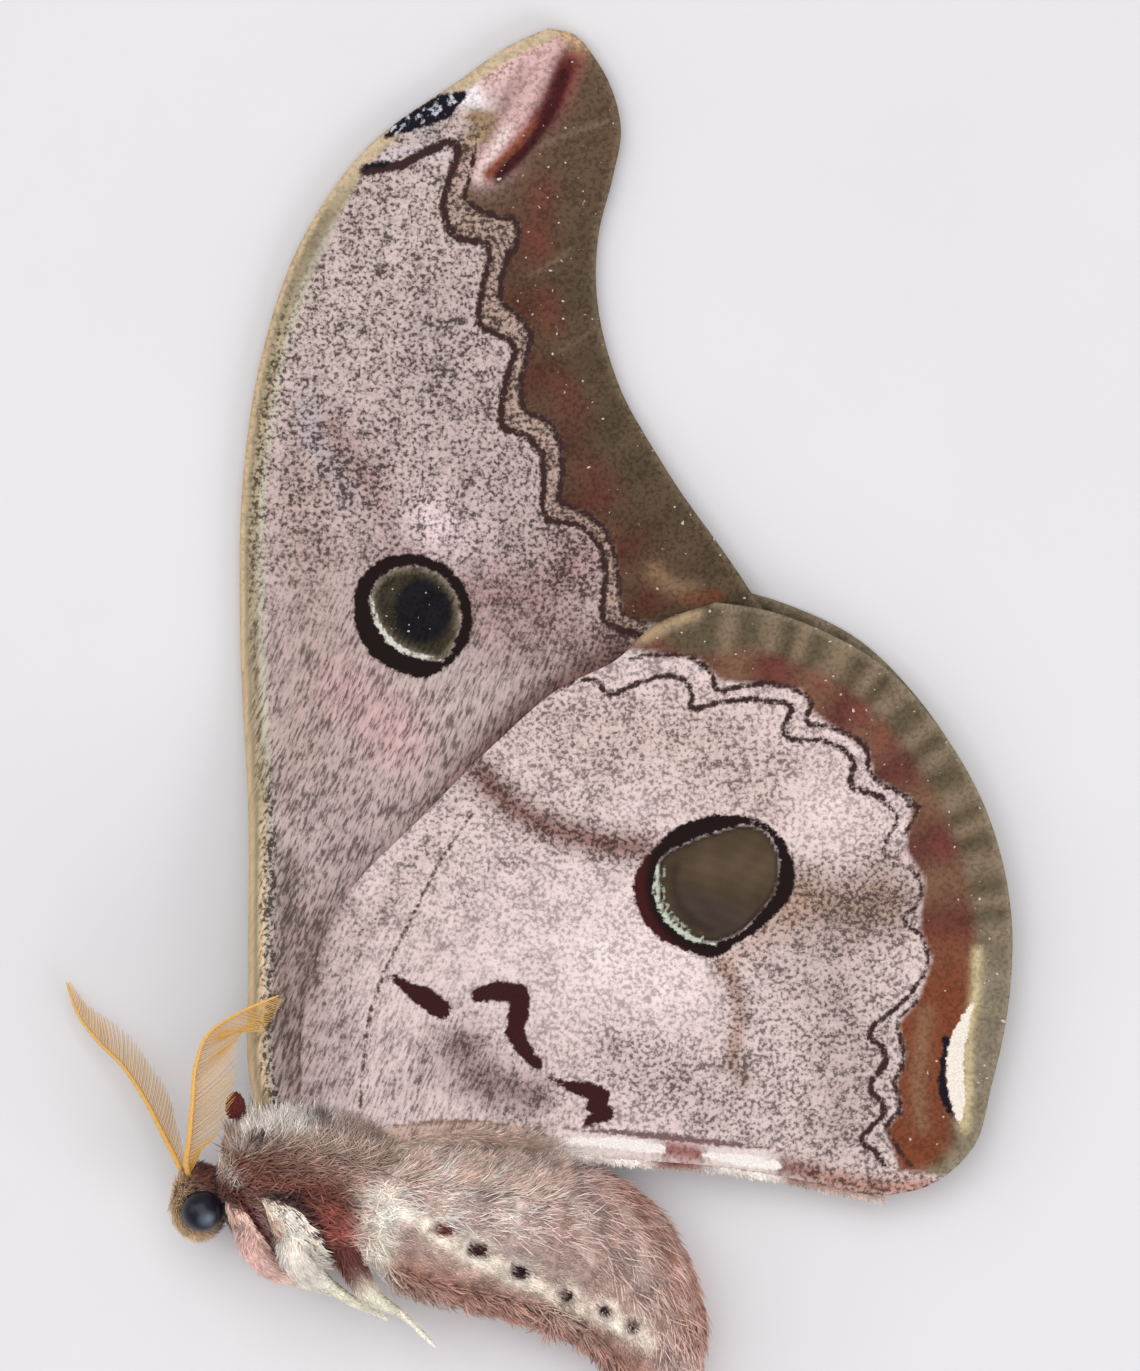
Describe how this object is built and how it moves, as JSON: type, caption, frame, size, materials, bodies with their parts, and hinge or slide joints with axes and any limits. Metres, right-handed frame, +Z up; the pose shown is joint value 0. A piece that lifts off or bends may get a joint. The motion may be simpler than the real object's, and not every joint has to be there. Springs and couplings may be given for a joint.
{
  "type": "saturniid moth specimen model",
  "caption": "Life-size still model of a large eyespotted silk moth lying on its right side, wings folded together over the back, feathery antennae and furry body.",
  "frame": {"origin": "centre of the bounding box in plan, on the floor that the specimen lies on", "axes": "+X from the head towards the hindwings' outer edge, +Y along the front wing edge towards the wing tip, +Z up, away from the floor"},
  "size_m": [0.0725, 0.1048, 0.0132],
  "materials": {
    "head_fur": "short olive-tan fur",
    "eye": "smooth, glossy, blue-black",
    "antenna": "satin yellow-tan horn",
    "thorax_fur": "long soft red-brown fur",
    "abdomen_fur": "soft mottled grey-pink fur",
    "forewing": "matt scales, pinkish grey speckled with brown",
    "hindwing": "matt scales, pale pinkish grey speckled with brown",
    "leg_fur": "pale pink-white fur"
  },
  "bodies": {
    "root": {"head": "head_fur", "eye_left": "eye", "eye_right": "eye", "antenna_left": "antenna", "antenna_right": "antenna", "thorax": "thorax_fur", "abdomen": "abdomen_fur", "forewing_left": "forewing", "forewing_right": "forewing", "hindwing_left": "hindwing", "hindwing_right": "hindwing", "leg_fore_left": "leg_fur", "leg_fore_right": "leg_fur", "leg_mid_left": "leg_fur", "leg_mid_right": "leg_fur", "leg_hind_left": "leg_fur", "leg_hind_right": "leg_fur"}
  },
  "joints": []
}
